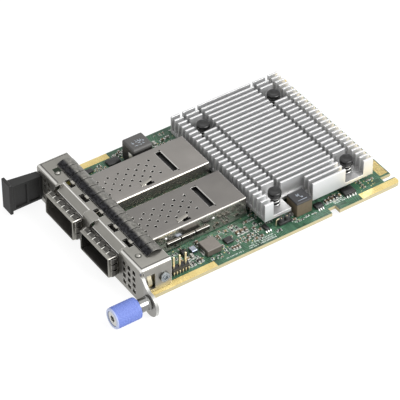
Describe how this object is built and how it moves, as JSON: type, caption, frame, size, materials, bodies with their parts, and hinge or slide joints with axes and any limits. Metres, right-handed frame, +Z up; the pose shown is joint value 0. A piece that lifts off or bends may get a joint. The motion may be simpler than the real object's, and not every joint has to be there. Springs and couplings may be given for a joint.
{
  "type": "mezzanine network card",
  "caption": "Server mezzanine network card with pluggable port cages, finned heatsink on sprung pins, folded faceplate with pull tab and captive thumbscrew, and a gold edge tongue.",
  "frame": {"origin": "on the front surface of the faceplate, on the upright strip between the port openings, level with the top surface of the circuit board", "axes": "+X towards the thumbscrew side, +Y from the faceplate towards the edge tongue, +Z up from the board's component side"},
  "size_m": [0.0844, 0.1303, 0.0183],
  "materials": {
    "solder_mask": "green solder mask over copper, satin",
    "faceplate_steel": "plated steel sheet, satin",
    "cage_nickel": "nickel-plated sheet, fine grain",
    "gasket_steel": "thin spring sheet, semi-bright",
    "bright_nickel": "bright nickel plating",
    "sink_aluminium": "plain aluminium, lightly satin",
    "spring_wire": "plated spring wire",
    "black_plastic": "moulded, matt",
    "pin_plastic": "moulded nylon, slightly glossy",
    "tab_plastic": "moulded, matt",
    "blue_plastic": "moulded touch-point blue, matt",
    "brass": "machined brass",
    "gold": "gold plating",
    "thermal_pad": "soft filler pad",
    "ferrite": "moulded powdered-iron body, matt grey",
    "dark_ferrite": "moulded powdered-iron body, dark",
    "chip_black": "moulded epoxy, matt",
    "ceramic": "ceramic body with tinned ends"
  },
  "bodies": {
    "card": {"circuit_board": "solder_mask", "faceplate": "faceplate_steel", "rivet_left": "bright_nickel", "rivet_right": "bright_nickel", "top_gasket": "gasket_steel", "left_flange_finger": "bright_nickel", "right_flange_finger": "bright_nickel", "right_cage": "cage_nickel", "left_cage": "cage_nickel", "right_port_gasket": "gasket_steel", "left_port_gasket": "gasket_steel", "right_port_connector": "black_plastic", "left_port_connector": "black_plastic", "processor_package": "solder_mask", "processor_lid": "bright_nickel", "thermal_pad": "thermal_pad", "heatsink": "sink_aluminium", "push_pin_front_left": "pin_plastic", "push_pin_front_right": "pin_plastic", "push_pin_rear_left": "pin_plastic", "push_pin_rear_right": "pin_plastic", "pin_spring_front_left": "spring_wire", "pin_spring_front_right": "spring_wire", "pin_spring_rear_left": "spring_wire", "pin_spring_rear_right": "spring_wire", "thumbscrew_ferrule": "bright_nickel", "pull_tab": "tab_plastic", "pull_tab_screw_lower": "bright_nickel", "pull_tab_screw_upper": "bright_nickel", "left_mounting_block": "brass", "right_mounting_block": "brass", "left_flange_screw": "bright_nickel", "right_flange_screw": "bright_nickel", "choke_front_right": "ferrite", "choke_left": "ferrite", "choke_rear_right": "dark_ferrite", "header_base": "black_plastic", "header_pin_1": "gold", "header_pin_2": "gold", "header_pin_3": "gold", "regulator_chip": "chip_black", "crystal": "bright_nickel", "capacitor_1": "ceramic", "capacitor_2": "ceramic", "capacitor_3": "ceramic"},
    "release_spring": {"thumbscrew_spring": "spring_wire"},
    "thumbscrew": {"thumbscrew_knob": "blue_plastic", "thumbscrew_screw": "bright_nickel"}
  },
  "joints": [
    {"name": "thumbscrew_slide", "type": "slide", "parent": "card", "child": "release_spring", "axis": [0, 1, 0], "range_m": [0, 0.0042], "stiffness_N_per_m": 120, "springref_m": -0.0015, "deforming": ["thumbscrew_spring"]},
    {"name": "thumbscrew_turn", "type": "hinge", "parent": "release_spring", "child": "thumbscrew", "pos_m": [0.041, -0.01, 0.0014], "axis": [0, 1, 0], "continuous": true}
  ]
}
